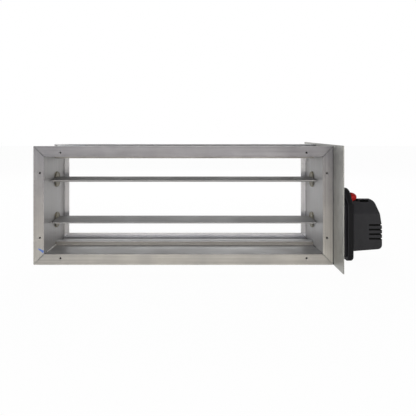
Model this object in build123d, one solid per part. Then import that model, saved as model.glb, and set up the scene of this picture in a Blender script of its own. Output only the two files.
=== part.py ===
from build123d import *
import math
import os

# Volume control damper: a mitred aluminium duct frame with two blades that turn in parallel,
# geared together in the right-hand channel and driven by an actuator outside it.
# Millimetres. Origin: centre of the duct opening in the face of the front flange.
# +X right, +Y into the duct, +Z up.

# ---- Frame ----
duct_width = 600.0
duct_height = 210.0
frame_depth = 155.0
wall = 2.0
flange = 22.5
back_lip = 11.5
return_lip = 10.0
mitre_gap = 0.4
groove_width = 2.0
groove_depth = 1.0
groove_setback = 3.0

# ---- Flange holes and corner cleats ----
flange_hole_radius = 2.25
hole_from_edge = 14.0
hole_from_corner = 58.0
cleat_thickness = 2.0
cleat_arm = 75.0
cleat_clearance = 0.15

# ---- Blades ----
axis_depth = 89.0
blade_lap = 2.5
blade_thickness = 11.0
blade_edge = 2.4
edge_lap_gap = 0.6
blade_skin = 1.4
blade_hook = 10.5
blade_end_gap = 0.5
tube_wall = 1.45

# ---- Pins and bushes ----
pin_radius = 4.0
running_clearance = 0.05
fixed_clearance = 0.02
pin_insert = 55.0
pin_flat_depth = 1.0
pin_tail = 1.5
bush_radius = 18.0
bush_flange = 3.5
bush_spigot_radius = 10.0
bush_tail = 5.0
clip_radius = 7.5
clip_thickness = 1.0
clip_clearance = 0.3

# ---- Gears ----
gear_teeth = 27
gear_width = 10.0
gear_backlash = 0.25
pressure_angle = math.radians(20)
gear_gap = 0.5
gear_recess = 2.5
gear_hub_radius = 11.0
gear_rim = 4.0

# ---- Blade stops ----
stop_height = 7.8
stop_depth = 22.0
stop_lead = 9.0
stop_sheet = 1.2
stop_foot = 10.0
stop_end_gap = 0.5
seal_width = 8.0
seal_thickness = 1.0
seal_lead = 5.0
rivet_radius = 2.0
rivet_head_radius = 4.0
rivet_head = 1.6
rivet_tail = 1.5
rivet_pitch = 120.0
rivet_count = 5

# ---- Side plate, bearing and drive shaft ----
plate_thickness = 2.0
plate_front = -64.0
plate_back = 258.0
plate_rise = 3.0
plate_screw_radius = 2.1
plate_screw_head_radius = 4.0
plate_screw_head = 2.4
plate_screw_length = 9.0
plate_screw_edge = 5.6
plate_screw_middle = 44.0
plate_screw_setback = 6.3
shaft_radius = 6.0
bearing_radius = 9.0
bearing_flange_radius = 13.0
bearing_flange = 2.0
bearing_length = 12.0
shaft_inset = 1.5
drive_hub_radius = 13.0
set_screw_radius = 1.5

# ---- Bracket ----
bracket_standoff = 35.5
bracket_sheet = 2.0
bracket_half_width = 34.0
bracket_foot = 18.0
bracket_top = -2.0
bracket_bottom = -115.0
bracket_screw_radius = 2.4
bracket_screw_head_radius = 4.6
bracket_screw_head = 2.8
bracket_screw_inset = 14.0

# ---- Actuator housing ----
housing_wall = 2.5
housing_slope = 1.06
rim_half_width = 43.0
rim_bottom = -134.5
rim_apex = 27.2
rim_nose = 27.0
rim_corner = 10.0
rim_thickness = 13.0
rim_edge = 7.0
base_thickness = 11.0
base_inset = 8.0
base_lip = 2.0
cover_wall = 3.0
hump_half_width = 36.0
hump_apex = 1.7
hump_nose = 20.0
hump_shoulder = 5.0
hump_length = 66.0
hump_top = 2.0
hump_crown = 14.0
hump_lean = 9.4
hump_waist = -58.0
hump_waist_radius = 60.0
hump_bottom = -115.0
hump_bottom_rise = 7.0
hump_corner = 10.0
hump_edge = 3.5
vent_count = 4
vent_pitch = 10.4
vent_width = 3.2
vent_depth = 2.2
vent_first = -53.0
vent_length = 30.5
ridge_groove = -2.2
ridge_groove_start = 407.0
ridge_groove_length = 20.0

# ---- Actuator inner parts ----
hub_radius = 16.0
hub_clearance = 0.4
hub_reach = 15.0
jaw_thickness = 12.0
jaw_half_width = 18.0
jaw_depth = 12.0
bolt_radius = 3.0
bolt_leg = 28.0
nut_flats = 10.0
nut_thickness = 5.0
button_radius = 10.6
button_height = 18.2
button_forward = 4.0
button_centre = 6.0
button_well = 12.5
button_well_depth = 21.0
button_stem = 5.5
button_clearance = 0.35
button_flange = 1.4
button_flange_radius = 7.5
button_travel = 3.0
button_gap = 0.2
quarter_turn = 90.0
motor_radius = 18.0
motor_length = 52.0
motor_drop = -78.0
board_thickness = 1.6
board_width = 56.0
board_height = 54.0
board_drop = -72.0
board_setback = 16.0
post_radius = 3.0
gland_radius = 8.0
gland_flats = 20.0
gland_bore = 3.25
gland_drop = -92.0
gland_setback = 32.0

# ---- Worked out from the values above ----
half_width = duct_width / 2
half_height = duct_height / 2
pitch = duct_height * 0.45
blade_height = pitch / 2
blade_half_chord = pitch / 2 + blade_lap / 2
blade_half_length = half_width - bush_flange - blade_end_gap
web_outside = half_width + wall
plate_inside = half_width + flange
plate_outside = plate_inside + plate_thickness
gear_start = web_outside + bush_tail + gear_gap
gear_end = gear_start + gear_width
gear_module = pitch / 2 / gear_teeth
bracket_face = plate_outside + bracket_standoff
bracket_screw_length = bracket_sheet + plate_thickness
base_end = bracket_face + base_thickness
rim_end = base_end + rim_thickness
hump_end = rim_end + hump_length
hub_end = base_end + hub_reach - base_thickness
button_depth = axis_depth - button_forward
drive_axis = Axis((0, axis_depth, 0), (1, 0, 0))


def prism_x(sketch, start, end):
    """Extrudes a sketch drawn in (Y, Z) from X = start to X = end."""
    return extrude(Plane.YZ.offset(start) * sketch, end - start)


def prism_y(sketch, start, end):
    """Extrudes a sketch drawn in (X, Z) from Y = start to Y = end."""
    return extrude(Plane.XZ.offset(-start) * sketch, start - end)


def prism_z(sketch, start, end):
    """Extrudes a sketch drawn in (X, Y) from Z = start to Z = end."""
    return extrude(Plane.XY.offset(start) * sketch, end - start)


def rod_x(radius, start, end, y, z):
    return prism_x(Pos(y, z) * Circle(radius), start, end)


def box(low, high):
    size = [b - a for a, b in zip(low, high)]
    middle = [(a + b) / 2 for a, b in zip(low, high)]
    return Pos(*middle) * Box(*size)


def polygon(*points):
    return make_face(Polyline(*points, close=True))


def save(name, *solids):
    shape = solids[0] if len(solids) == 1 else Compound(children=list(solids))
    export_step(shape, f"parts/{name}.step")


# ---- Frame members ----
def member_section():
    """Extruded section: u outwards from the duct opening, v along the air's way."""
    f, d, r, t = flange, frame_depth, return_lip, wall
    groove_end = d - t - groove_setback
    outline = polygon(
        (0, 0), (0, d - t), (-back_lip, d - t), (-back_lip, d), (f, d), (f, d - r), (f - t, d - r),
        (f - t, d - t), (t, d - t), (t, t), (f - t, t), (f - t, r), (f, r), (f, 0),
    )
    groove = Pos(groove_depth / 2, groove_end - groove_width / 2) * Rectangle(groove_depth, groove_width)
    return outline - groove


def mitre_wedge_cross():
    """The part of the front view that belongs to the top member."""
    reach = half_width + flange + return_lip
    apex = half_height - half_width + mitre_gap / math.sqrt(2)
    return polygon((0, apex), (reach, apex + reach), (-reach, apex + reach))


def mitre_wedge_side():
    """The part of the front view that belongs to the right member."""
    reach = half_height + flange + return_lip
    apex = half_width - half_height + mitre_gap / math.sqrt(2)
    return polygon((apex, 0), (apex + reach, reach), (apex + reach, -reach))


def flange_holes():
    """Hole centres in the front view: two on each member near every corner."""
    x_edge = half_width + flange - hole_from_edge
    z_edge = half_height + flange - hole_from_edge
    x_in = half_width + flange - hole_from_corner
    z_in = half_height + flange - hole_from_corner
    return [(sx * x, sz * z) for x, z in ((x_edge, z_in), (x_in, z_edge)) for sx in (-1, 1) for sz in (-1, 1)]


def flange_hole_cutters():
    return [
        prism_y(Pos(x, z) * Circle(flange_hole_radius), -1, frame_depth + 1)
        for x, z in flange_holes()
    ]


def cross_member(rivet_y):
    """Top member, with a row of rivet holes for its blade stop."""
    reach = half_width + flange
    section = Rot(0, 0, 90) * member_section()
    section = Pos(0, half_height) * mirror(section, about=Plane.YZ)
    bar = prism_x(section, -reach, reach)
    bar = bar & prism_y(mitre_wedge_cross(), -1, frame_depth + 1)
    hole = Circle(rivet_radius + fixed_clearance)
    bar -= [prism_z(Pos(x, rivet_y) * hole, half_height - 1, half_height + wall + 1) for x in rivet_places()]
    return bar - flange_hole_cutters()


def top_member():
    return cross_member(2 * axis_depth - stop_rivet_y())


def bottom_member():
    return mirror(cross_member(stop_rivet_y()), about=Plane.XY)


def side_member():
    reach = half_height + flange
    bar = prism_z(Pos(half_width, 0) * member_section(), -reach, reach)
    bar = bar & prism_y(mitre_wedge_side(), -1, frame_depth + 1)
    bar = bar - flange_hole_cutters()
    spigot = bush_spigot_radius + fixed_clearance
    return bar - [rod_x(spigot, half_width - 1, web_outside + 1, axis_depth, z) for z in blade_axes()]


def blade_axes():
    return [blade_height, -blade_height]


def right_member():
    return side_member() - [
        rod_x(plate_screw_radius + fixed_clearance, plate_inside - 2 * wall, plate_outside, y, z)
        for y, z in plate_screw_places()
    ]


def corner_cleat():
    """Flat L at the top right corner, between the web and the return lips."""
    outer_x = half_width + flange - wall - cleat_clearance
    outer_z = half_height + flange - wall - cleat_clearance
    width = flange - 2 * (wall + cleat_clearance)
    return polygon(
        (outer_x, outer_z), (outer_x, outer_z - cleat_arm), (outer_x - width, outer_z - cleat_arm),
        (outer_x - width, outer_z - width), (outer_x - cleat_arm, outer_z - width),
        (outer_x - cleat_arm, outer_z),
    )


def cleats(start):
    sketch = corner_cleat()
    corners = [sketch, mirror(sketch, about=Plane.YZ)]
    corners += [mirror(corner, about=Plane.XZ) for corner in corners]
    return [prism_y(corner, start, start + cleat_thickness) - flange_hole_cutters() for corner in corners]


# ---- Blade stops ----
def rivet_places():
    first = -rivet_pitch * (rivet_count - 1) / 2
    return [first + rivet_pitch * i for i in range(rivet_count)]


def stop_rivet_y():
    return axis_depth - stop_lead + stop_depth + stop_foot / 2


def bottom_stop():
    """Hat-shaped sill across the floor, open below, with one foot behind it."""
    front = axis_depth - stop_lead
    back = front + stop_depth
    floor = -half_height
    top = floor + stop_height
    t = stop_sheet
    section = polygon(
        (front, floor), (front, top), (back, top), (back, floor + t), (back + stop_foot, floor + t),
        (back + stop_foot, floor), (back - t, floor), (back - t, top - t), (front + t, top - t),
        (front + t, floor),
    )
    reach = half_width - stop_end_gap
    sill = prism_x(section, -reach, reach)
    hole = Circle(rivet_radius + fixed_clearance)
    return sill - [prism_z(Pos(x, stop_rivet_y()) * hole, floor - 1, floor + 3) for x in rivet_places()]


def bottom_seal():
    front = axis_depth - seal_lead
    top = -half_height + stop_height
    reach = half_width - stop_end_gap
    return box((-reach, front, top), (reach, front + seal_width, top + seal_thickness))


def bottom_rivets():
    floor = -half_height
    head_base = floor + stop_sheet
    body = prism_z(Circle(rivet_radius), floor - wall - rivet_tail, head_base)
    head = prism_z(Circle(rivet_head_radius), head_base, head_base + rivet_head)
    head = chamfer(head.faces().sort_by(Axis.Z)[-1].edges(), rivet_head * 0.6, rivet_head)
    rivet = body + head
    return [Pos(x, stop_rivet_y(), 0) * rivet for x in rivet_places()]


def to_top(shape):
    """The top stop is the bottom stop turned half round about the shaft axis."""
    return shape.rotate(drive_axis, 180)


# ---- Blades ----
def blade_outline():
    """Blade section, u along the chord and v through it: thick at the tube, stepped at both edges."""
    u, h, half = blade_half_chord, blade_hook, blade_thickness / 2
    near = edge_lap_gap / 2
    far = near + blade_edge
    curves = [
        Line((-u, far), (h - u, far)),
        TangentArc((0, half), (h - u, far), tangent=(-1, 0)),
        TangentArc((0, half), (u - h, -near), tangent=(1, 0)),
        Line((u - h, -near), (u, -near)),
        Line((u, -near), (u, -far)),
        Line((u, -far), (u - h, -far)),
        TangentArc((0, -half), (u - h, -far), tangent=(1, 0)),
        TangentArc((0, -half), (h - u, near), tangent=(-1, 0)),
        Line((h - u, near), (-u, near)),
        Line((-u, near), (-u, far)),
    ]
    return make_face(Wire([edge for curve in curves for edge in curve.edges()]))


def blade(z):
    outline = blade_outline()
    tube = Circle(pin_radius + tube_wall)
    cells = offset(outline, amount=-blade_skin) - tube
    section = outline - cells - Circle(pin_radius + fixed_clearance)
    return prism_x(Pos(axis_depth, z) * section, -blade_half_length, blade_half_length)


def drive_pin(z):
    end = gear_end + clip_clearance + clip_thickness + pin_tail
    pin = rod_x(pin_radius, blade_half_length - pin_insert, end, axis_depth, z)
    flat = box((gear_start, axis_depth + pin_radius - pin_flat_depth, z - pin_radius),
               (end + 1, axis_depth + pin_radius + 1, z + pin_radius))
    return pin - flat


def idle_pin(z):
    end = web_outside + bush_tail + clip_clearance + clip_thickness + pin_tail
    return rod_x(pin_radius, -end, pin_insert - blade_half_length, axis_depth, z)


def pin_clips(z):
    bore = pin_radius + fixed_clearance
    ring = Pos(axis_depth, z) * (Circle(clip_radius) - Circle(bore))
    right = gear_end + clip_clearance
    left = web_outside + bush_tail + clip_clearance
    return [prism_x(ring, right, right + clip_thickness), prism_x(ring, -left - clip_thickness, -left)]


def bush(side, z):
    """Moulded bush: ribbed inner flange, spigot through the web, plain bore."""
    bore = pin_radius + running_clearance
    inner = half_width - bush_flange
    rim = 1.0
    tail = web_outside + bush_tail
    profile = polygon(
        (bore, inner), (bush_radius * 0.42, inner), (bush_radius * 0.5, inner + rim),
        (bush_radius * 0.8, inner + rim), (bush_radius - rim, inner), (bush_radius, inner + rim),
        (bush_radius, half_width), (bush_spigot_radius, half_width), (bush_spigot_radius, tail), (bore, tail),
    )
    turned = revolve(Plane.XY * (Rot(0, 0, -90) * mirror(profile, about=Plane.YZ)), Axis.X)
    solid = Pos(0, axis_depth, z) * turned
    return solid if side > 0 else mirror(solid, about=Plane.YZ)


# ---- Gears ----
def involute(angle):
    return math.tan(angle) - angle


def flank_point(radius, side, turn):
    """A point on a tooth flank at this radius, for a tooth centred on the turn angle."""
    pitch_radius = gear_module * gear_teeth / 2
    base_radius = pitch_radius * math.cos(pressure_angle)
    rolled = math.acos(min(1.0, base_radius / radius))
    half = math.pi / (2 * gear_teeth) - gear_backlash / 2 / pitch_radius
    half += involute(pressure_angle) - involute(rolled)
    angle = turn + side * half
    return radius * math.cos(angle), radius * math.sin(angle)


def gear_outline():
    """Involute spur gear with one tooth centred on +Z, which is the sketch's own +Y."""
    pitch_radius = gear_module * gear_teeth / 2
    base = pitch_radius * math.cos(pressure_angle)
    tip = pitch_radius + gear_module
    root = pitch_radius - 1.25 * gear_module
    middle = (base + tip) / 2
    edges = []
    for i in range(gear_teeth):
        turn = math.pi / 2 + 2 * math.pi * i / gear_teeth
        next_turn = turn + 2 * math.pi / gear_teeth
        low = [flank_point(base, side, turn) for side in (-1, 1)]
        mid = [flank_point(middle, side, turn) for side in (-1, 1)]
        high = [flank_point(tip, side, turn) for side in (-1, 1)]
        feet = [(x * root / base, y * root / base) for x, y in low]
        next_low = flank_point(base, -1, next_turn)
        next_foot = (next_low[0] * root / base, next_low[1] * root / base)
        edges += [
            Line(feet[0], low[0]),
            ThreePointArc(low[0], mid[0], high[0]),
            Line(high[0], high[1]),
            ThreePointArc(high[1], mid[1], low[1]),
            Line(low[1], feet[1]),
            Line(feet[1], next_foot),
        ]
    return make_face(Wire([edge for line in edges for edge in line.edges()]))


def gear_blank(z):
    """Toothed disc with a moulded recess in each face."""
    place = Pos(axis_depth, z)
    root = gear_module * gear_teeth / 2 - 1.25 * gear_module
    ring = place * (Circle(root - gear_rim) - Circle(gear_hub_radius))
    gear = prism_x(place * gear_outline(), gear_start, gear_end)
    gear -= prism_x(ring, gear_start, gear_start + gear_recess)
    return gear - prism_x(ring, gear_end - gear_recess, gear_end)


def blade_gear(z):
    bore = pin_radius + fixed_clearance
    flat = bore - pin_flat_depth
    keep = Pos(flat - pin_radius * 2, 0) * Rectangle(pin_radius * 4, pin_radius * 4)
    return gear_blank(z) - prism_x(Pos(axis_depth, z) * (Circle(bore) & keep), gear_start - 1, gear_end + 1)


def drive_gear():
    hub = rod_x(drive_hub_radius, web_outside + shaft_inset, gear_start, axis_depth, 0)
    gear = gear_blank(0) + hub
    gear -= rod_x(shaft_radius + fixed_clearance, web_outside, gear_end + 1, axis_depth, 0)
    return gear - set_screw_solid(fixed_clearance, drive_hub_radius + 1)


def set_screw_solid(clearance, top):
    middle = (web_outside + shaft_inset + gear_start) / 2
    hole = Pos(middle, axis_depth) * Circle(set_screw_radius + clearance)
    return prism_z(hole, shaft_radius + fixed_clearance, top)


def set_screw():
    return set_screw_solid(0, drive_hub_radius - 0.5)


# ---- Side plate and drive shaft ----
def plate_screw_places():
    depths = (plate_screw_setback, frame_depth - plate_screw_setback)
    edge = half_height + flange - plate_screw_edge
    return [(y, z) for y in depths for z in (-edge, plate_screw_middle, edge)]


def bracket_screw_places():
    ys = [axis_depth + side * (bracket_half_width + bracket_foot / 2) for side in (-1, 1)]
    zs = (bracket_bottom + bracket_screw_inset, bracket_top - bracket_screw_inset)
    return [(y, z) for y in ys for z in zs]


def side_plate():
    low = (plate_inside, plate_front, -half_height - flange)
    high = (plate_outside, plate_back, half_height + flange + plate_rise)
    start, end = plate_inside - 1, plate_outside + 1
    plate = box(low, high)
    hole = plate_screw_radius + fixed_clearance
    plate -= [rod_x(hole, start, end, y, z) for y, z in plate_screw_places()]
    hole = bracket_screw_radius + fixed_clearance
    plate -= [rod_x(hole, start, end, y, z) for y, z in bracket_screw_places()]
    return plate - rod_x(bearing_radius + fixed_clearance, start, end, axis_depth, 0)


def screw(radius, head_radius, head, length, seat, y, z):
    """Pan head screw along X whose head sits on the face at X = seat and points outwards."""
    shank = rod_x(radius, seat - length, seat, y, z)
    cap = rod_x(head_radius, seat, seat + head, y, z)
    cap = chamfer(cap.faces().sort_by(Axis.X)[-1].edges(), head * 0.35)
    cross = [
        box((seat + head * 0.5, y - a, z - b), (seat + head + 1, y + a, z + b))
        for a, b in ((head_radius * 0.55, head_radius * 0.12), (head_radius * 0.12, head_radius * 0.55))
    ]
    return shank + cap - cross


def small_screw(seat, y, z):
    sizes = (plate_screw_radius, plate_screw_head_radius, plate_screw_head, plate_screw_length)
    return screw(*sizes, seat, y, z)


def plate_screws():
    return [small_screw(plate_outside, y, z) for y, z in plate_screw_places()]


def bracket_screws():
    seat = plate_outside + bracket_sheet
    sizes = (bracket_screw_radius, bracket_screw_head_radius, bracket_screw_head, bracket_screw_length)
    return [screw(*sizes, seat, y, z) for y, z in bracket_screw_places()]


def shaft_bearing():
    body = rod_x(bearing_radius, plate_inside, plate_inside + bearing_length, axis_depth, 0)
    body += rod_x(bearing_flange_radius, plate_inside - bearing_flange, plate_inside, axis_depth, 0)
    return body - rod_x(shaft_radius + running_clearance, gear_end, bracket_face, axis_depth, 0)


def drive_shaft():
    shaft = rod_x(shaft_radius, web_outside + shaft_inset, hub_end, axis_depth, 0)
    return chamfer(shaft.edges(), 0.6)


# ---- Bracket ----
def actuator_bracket():
    """Hat section of bent sheet: two feet on the side plate and a web that carries the housing."""
    t, a, b = bracket_sheet, plate_outside, bracket_face
    near, far = axis_depth - bracket_half_width, axis_depth + bracket_half_width
    foot = bracket_foot
    section = polygon(
        (a, near - foot), (a + t, near - foot), (a + t, near), (b, near), (b, far), (a + t, far),
        (a + t, far + foot), (a, far + foot), (a, far - t), (b - t, far - t), (b - t, near + t),
        (a, near + t),
    )
    bracket = prism_z(section, bracket_bottom, bracket_top)
    slot = hub_radius + 2 * hub_clearance
    bracket -= rod_x(slot, b - 2 * t, b + 1, axis_depth, 0)
    hole = bracket_screw_radius + fixed_clearance
    bracket -= [rod_x(hole, a - 1, a + t + 1, y, z) for y, z in bracket_screw_places()]
    hole = plate_screw_radius + fixed_clearance
    return bracket - [rod_x(hole, b - 2 * t, b + 1, y, z) for y, z in housing_screw_places()]


def housing_screw_places():
    offset_y = bracket_half_width - bracket_screw_inset
    return [(axis_depth + side * offset_y, z) for side in (-1, 1)
            for z in (bracket_bottom + bracket_screw_inset, bracket_top - 2 * bracket_screw_inset)]


def housing_screws():
    """Screws from the bracket's inner side into bosses on the housing's floor."""
    seat = bracket_face - bracket_sheet
    return [mirror(small_screw(-seat, y, z), about=Plane.YZ) for y, z in housing_screw_places()]


# ---- Housing ----
def tapered_outline(width, bottom, apex, nose, shoulder, corner):
    """Outline in (Y, Z): a long plate whose upper end narrows to a round nose over the shaft."""
    peak = apex + nose * (math.sqrt(1 + housing_slope ** 2) - 1)
    side = peak - housing_slope * width
    right = [(axis_depth + width, side), (axis_depth + width, bottom)]
    left = [(axis_depth - width, bottom), (axis_depth - width, side)]
    outline = polygon((axis_depth, peak), *right, *left)
    outline = fillet(outline.vertices().sort_by(Axis.Y)[-1], nose)
    outline = fillet([v for v in outline.vertices() if abs(v.Y - side) < 0.01], shoulder)
    return fillet([v for v in outline.vertices() if abs(v.Y - bottom) < 0.01], corner)


def rim_outline(inset):
    outline = tapered_outline(rim_half_width, rim_bottom, rim_apex, rim_nose, rim_corner, rim_corner)
    return offset(outline, amount=-inset) if inset else outline


def actuator_base():
    """Shallow tub with a lip round its mouth that the cover stands on."""
    tub = prism_x(rim_outline(base_inset), bracket_face, base_end - base_lip)
    tub += prism_x(rim_outline(0), base_end - base_lip, base_end)
    tub -= prism_x(rim_outline(base_inset + housing_wall), bracket_face + housing_wall, base_end + 1)
    tub -= rod_x(hub_radius + hub_clearance, bracket_face - 1, base_end, axis_depth, 0)
    boss_end = bracket_face + plate_screw_length
    for y, z in housing_screw_places():
        tub += rod_x(plate_screw_radius * 2, bracket_face + housing_wall, boss_end, y, z)
        tub -= rod_x(plate_screw_radius + fixed_clearance, bracket_face - 1, boss_end - 1, y, z)
    return tub


def hump_profile(inset):
    """Outline in (X, Z): flat top, a leaning outer side that turns upright, a rising bottom edge."""
    left, crown = base_end - hump_corner, hump_end - hump_lean
    rise = hump_bottom + hump_bottom_rise
    outline = polygon(
        (left, hump_top), (crown, hump_top), (hump_end, hump_waist), (hump_end, rise), (left, hump_bottom),
    )
    rounds = (
        (crown, hump_top, hump_crown),
        (hump_end, hump_waist, hump_waist_radius),
        (hump_end, rise, hump_corner),
    )
    for x, z, radius in rounds:
        outline = fillet([v for v in outline.vertices() if abs(v.X - x) + abs(v.Y - z) < 0.01], radius)
    return offset(outline, amount=-inset) if inset else outline


def hump_form(inset):
    """The hump, or what lies inside it at this depth, with a well for the button beside its ridge."""
    below = hump_bottom - hump_corner
    across = tapered_outline(hump_half_width, below, hump_apex, hump_nose, hump_shoulder, 1)
    across = offset(across, amount=-inset) if inset else across
    reach = axis_depth + rim_half_width
    form = prism_x(across, base_end, hump_end + 1) & prism_y(hump_profile(inset), -reach, reach)
    low, high = axis_depth - hump_half_width + inset, axis_depth + hump_half_width - inset
    edges = [e for e in form.edges() if min(abs(e.center().Y - low), abs(e.center().Y - high)) < 0.01]
    edges = [e for e in edges if e.center().X > hump_end - hump_lean - inset]
    form = fillet(edges, max(hump_edge - inset, 0.5))
    well_end = rim_end + button_well_depth + inset
    return form - rod_x(button_well + inset, rim_end - inset, well_end, button_depth, button_centre)


def rim_form(inset):
    rim = prism_x(rim_outline(inset), base_end, rim_end - inset)
    return fillet(rim.faces().sort_by(Axis.X)[-1].edges(), rim_edge - inset)


def vent_cutters():
    """Grooves of one depth: a row round the outer end of the hump and one beside its ridge."""
    core = hump_form(vent_depth)
    near, far = axis_depth - rim_half_width, axis_depth + rim_half_width
    places = [(hump_end - vent_length, hump_end + 1, vent_first - vent_pitch * i) for i in range(vent_count)]
    places.append((ridge_groove_start, ridge_groove_start + ridge_groove_length, ridge_groove))
    half = vent_width / 2
    return [box((start, near, z - half), (end, far, z + half)) - core for start, end, z in places]


def board_post_places():
    reach = board_width / 2 - post_radius - 1
    height = board_height / 2 - post_radius - 1
    return [(axis_depth + side * reach, board_drop + level * height) for side in (-1, 1) for level in (-1, 1)]


def actuator_cover():
    cover = hump_form(0) + rim_form(0) - hump_form(cover_wall) - rim_form(cover_wall)
    cover -= vent_cutters()
    stem = button_stem + button_clearance
    cover -= rod_x(stem, rim_end - cover_wall - 1, rim_end + 1, button_depth, button_centre)
    far = axis_depth + hump_half_width
    gland = Pos(hump_end - gland_setback, gland_drop) * Circle(gland_radius + fixed_clearance)
    cover -= prism_y(gland, far - cover_wall - 2, far + 1)
    start, end = hump_end - board_setback, hump_end - cover_wall
    return cover + [rod_x(post_radius, start, end, y, z) for y, z in board_post_places()]


# ---- Actuator inner parts ----
def output_hub():
    """Hub round the shaft with a jaw block outside the housing that the clamp bolt pulls against."""
    jaw_end = bracket_face - bracket_sheet - hub_clearance
    jaw_start = jaw_end - jaw_thickness
    hub = rod_x(hub_radius, jaw_end - 1, hub_end, axis_depth, 0)
    jaw = box((jaw_start, axis_depth - jaw_half_width, -shaft_radius - jaw_depth),
              (jaw_end, axis_depth + jaw_half_width, -shaft_radius * 0.4))
    hub += jaw
    hub -= rod_x(shaft_radius + fixed_clearance, jaw_start - 1, hub_end + 1, axis_depth, 0)
    hole = Circle(bolt_radius + fixed_clearance)
    sides = [axis_depth + side * clamp_spread() for side in (-1, 1)]
    return hub - [prism_z(Pos(clamp_x(), y) * hole, -bolt_leg, 0) for y in sides]


def clamp_x():
    return bracket_face - bracket_sheet - hub_clearance - jaw_thickness / 2


def clamp_spread():
    return shaft_radius + bolt_radius + fixed_clearance


def clamp_bolt():
    """Round bar bent over the shaft, with two threaded legs through the jaw."""
    spread, x = clamp_spread(), clamp_x()
    path = Polyline((axis_depth - spread, -bolt_leg), (axis_depth - spread, 0))
    path += ThreePointArc((axis_depth - spread, 0), (axis_depth, spread), (axis_depth + spread, 0))
    path += Line((axis_depth + spread, 0), (axis_depth + spread, -bolt_leg))
    route = Plane.YZ.offset(x) * path
    start = Plane(origin=(x, axis_depth - spread, -bolt_leg), z_dir=(0, 0, 1))
    return sweep(start * Circle(bolt_radius), path=Wire(route.edges()))


def clamp_nuts():
    seat = -shaft_radius - jaw_depth
    hexagon = RegularPolygon(nut_flats / 2, 6, major_radius=False) - Circle(bolt_radius + fixed_clearance)
    return [
        prism_z(Pos(clamp_x(), axis_depth + side * clamp_spread()) * hexagon, seat - nut_thickness, seat)
        for side in (-1, 1)
    ]


def release_button():
    """Domed push button on a stem, with a flange inside the cover."""
    top = rim_end + button_height
    seat = rim_end + button_travel + button_gap
    back = rim_end - cover_wall - button_gap
    dome = EllipticalCenterArc((seat, 0), top - seat, button_radius, 0, arc_size=quarter_turn)
    lines = Polyline(
        (seat, button_radius), (seat, button_stem), (back, button_stem), (back, button_flange_radius),
        (back - button_flange, button_flange_radius), (back - button_flange, 0), (top, 0),
    )
    profile = make_face(Wire(dome.edges() + lines.edges()))
    return Pos(0, button_depth, button_centre) * revolve(profile, Axis.X)


def drive_motor():
    start = bracket_face + housing_wall
    can = rod_x(motor_radius, start, start + motor_length, axis_depth, motor_drop)
    can = fillet(can.faces().sort_by(Axis.X)[-1].edges(), 2)
    end = start + motor_length
    return can + rod_x(motor_radius / 3, end, end + 3, axis_depth, motor_drop)


def circuit_board():
    x = hump_end - board_setback
    board = box((x - board_thickness, axis_depth - board_width / 2, board_drop - board_height / 2),
                (x, axis_depth + board_width / 2, board_drop + board_height / 2))
    return board


def terminal_block():
    x = hump_end - board_setback - board_thickness
    block = box((x - 11, axis_depth - 20, board_drop - board_height / 2 + 4),
                (x, axis_depth + 20, board_drop - board_height / 2 + 13))
    wires = [
        prism_z(Pos(x - 6, axis_depth - 16 + 8 * i) * Circle(1.5), board_drop - board_height / 2 + 3,
                board_drop - board_height / 2 + 9)
        for i in range(5)
    ]
    return block - wires


def cable_gland():
    """Gland in the back of the cover: threaded body, hexagon and rounded cap."""
    far = axis_depth + hump_half_width
    place = Pos(hump_end - gland_setback, gland_drop)
    body = prism_y(place * Circle(gland_radius), far - cover_wall - 3, far + 12)
    body += prism_y(place * RegularPolygon(gland_flats / 2, 6, major_radius=False), far, far + 6)
    cap = prism_y(place * Circle(gland_radius + 1.2), far + 6, far + 16)
    cap = fillet(cap.faces().sort_by(Axis.Y)[-1].edges(), 2.5)
    return body + cap - prism_y(place * Circle(gland_bore), far - 20, far + 30)


def main():
    os.makedirs("parts", exist_ok=True)
    right = right_member()
    save("frame_top", top_member())
    save("frame_bottom", bottom_member())
    save("frame_right", right)
    save("frame_left", mirror(side_member(), about=Plane.YZ))
    save("front_corner_cleats", *cleats(wall))
    save("back_corner_cleats", *cleats(frame_depth - wall - cleat_thickness))

    save("bottom_blade_stop", bottom_stop())
    save("top_blade_stop", to_top(bottom_stop()))
    save("bottom_stop_seal", bottom_seal())
    save("top_stop_seal", to_top(bottom_seal()))
    save("bottom_stop_rivets", *bottom_rivets())
    save("top_stop_rivets", *[to_top(rivet) for rivet in bottom_rivets()])

    save("drive_side_bushes", *[bush(1, z) for z in blade_axes()])
    save("far_side_bushes", *[bush(-1, z) for z in blade_axes()])
    for name, z in zip(("upper", "lower"), blade_axes()):
        save(f"{name}_blade", blade(z))
        save(f"{name}_drive_pin", drive_pin(z))
        save(f"{name}_idle_pin", idle_pin(z))
        save(f"{name}_pin_clips", *pin_clips(z))
        save(f"{name}_gear", blade_gear(z))

    save("drive_gear", drive_gear())
    save("gear_set_screw", set_screw())
    save("drive_shaft", drive_shaft())
    save("output_hub", output_hub())
    save("clamp_bolt", clamp_bolt())
    save("clamp_nuts", *clamp_nuts())

    save("drive_side_plate", side_plate())
    save("plate_screws", *plate_screws())
    save("shaft_bearing", shaft_bearing())
    save("actuator_bracket", actuator_bracket())
    save("bracket_screws", *bracket_screws())
    save("housing_screws", *housing_screws())
    save("actuator_base", actuator_base())
    save("actuator_cover", actuator_cover())
    save("drive_motor", drive_motor())
    save("circuit_board", circuit_board())
    save("terminal_block", terminal_block())
    save("cable_gland", cable_gland())
    save("release_button", release_button())


main()
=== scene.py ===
# %% [markdown]
# # A volume control damper, dressed in Blender
# The damper's working parts come ready made: an extruded aluminium frame, two blades that turn
# together, their bushes and gears, a galvanised side plate and a black actuator. This script
# gives each of them its finish, adds the few small things a workshop leaves behind, and lights
# the whole. The parts arrive as a fixed frame, so nothing here is ever moved or resized.

# %% Load the fixed frame
import math

import bpy
from mathutils import Matrix, Vector


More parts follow.
